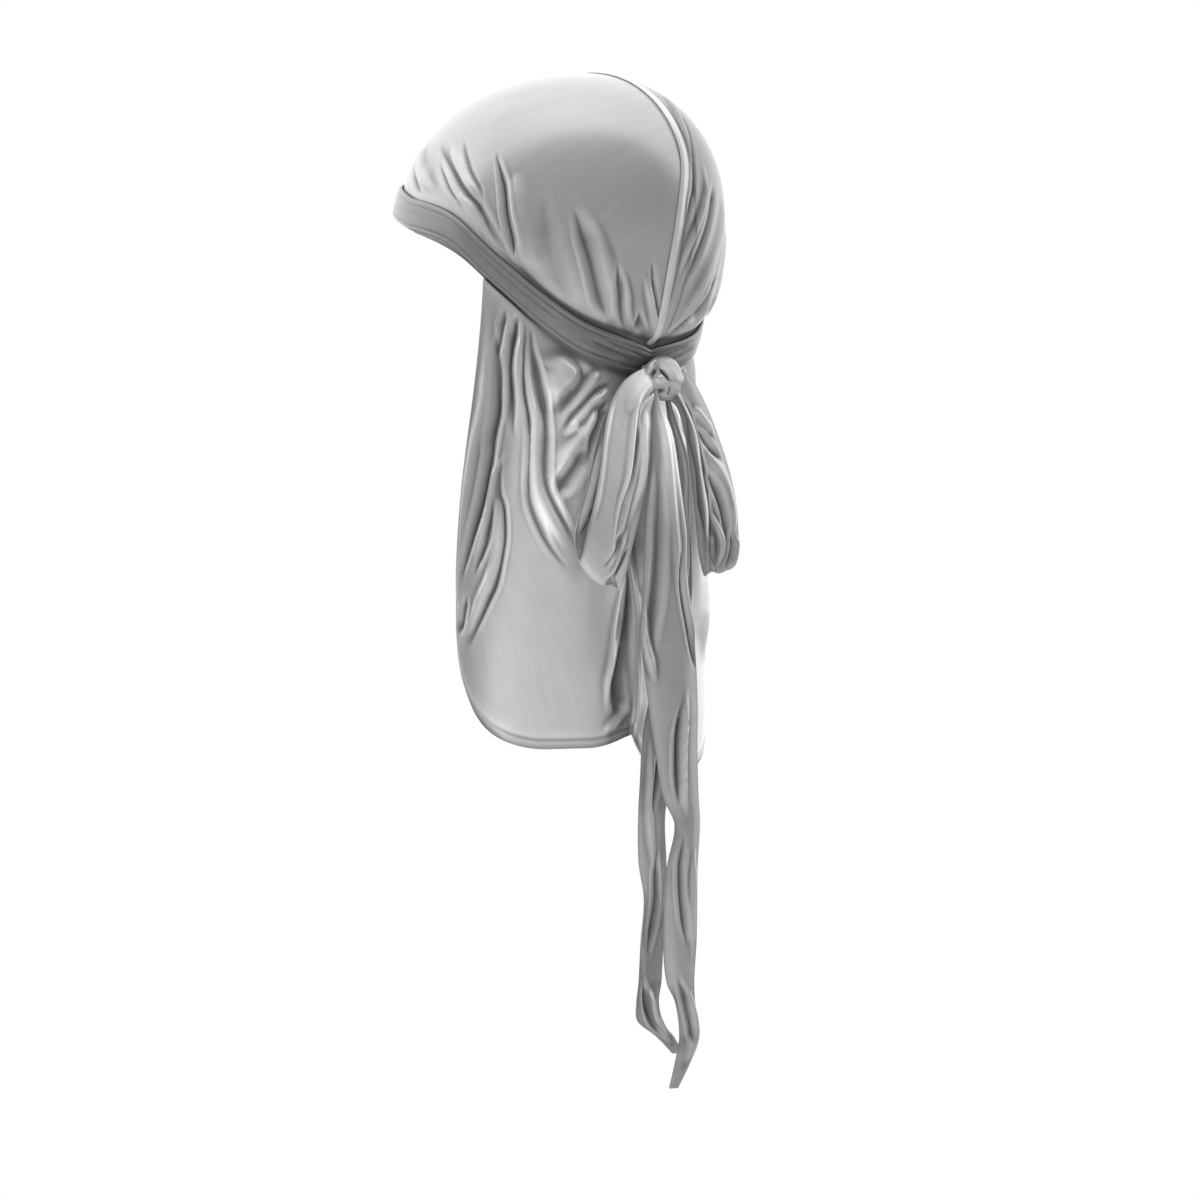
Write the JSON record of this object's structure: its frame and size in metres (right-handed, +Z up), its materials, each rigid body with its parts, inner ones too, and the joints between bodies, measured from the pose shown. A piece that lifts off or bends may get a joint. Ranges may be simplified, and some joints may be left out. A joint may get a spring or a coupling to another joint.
{
  "type": "durag",
  "caption": "Satin durag in its worn shape: smooth crown with a centre seam, a cape down the neck, straps round the head and a bow with hanging tails at the nape.",
  "frame": {"origin": "on the inside of the crown at the top of the head, where the head holds the cloth", "axes": "+Z up, the face looks along -Y, the wearer's left is +X"},
  "size_m": [0.1902, 0.2128, 0.5751],
  "materials": {
    "satin": "smooth grey satin with a soft sheen"
  },
  "bodies": {
    "root": {"left_panel": "satin", "right_panel": "satin", "left_strap": "satin", "right_strap": "satin", "centre_seam": "satin", "cape_seam": "satin", "knot": "satin", "left_loop": "satin", "right_loop": "satin", "left_tail": "satin", "right_tail": "satin"}
  },
  "joints": []
}
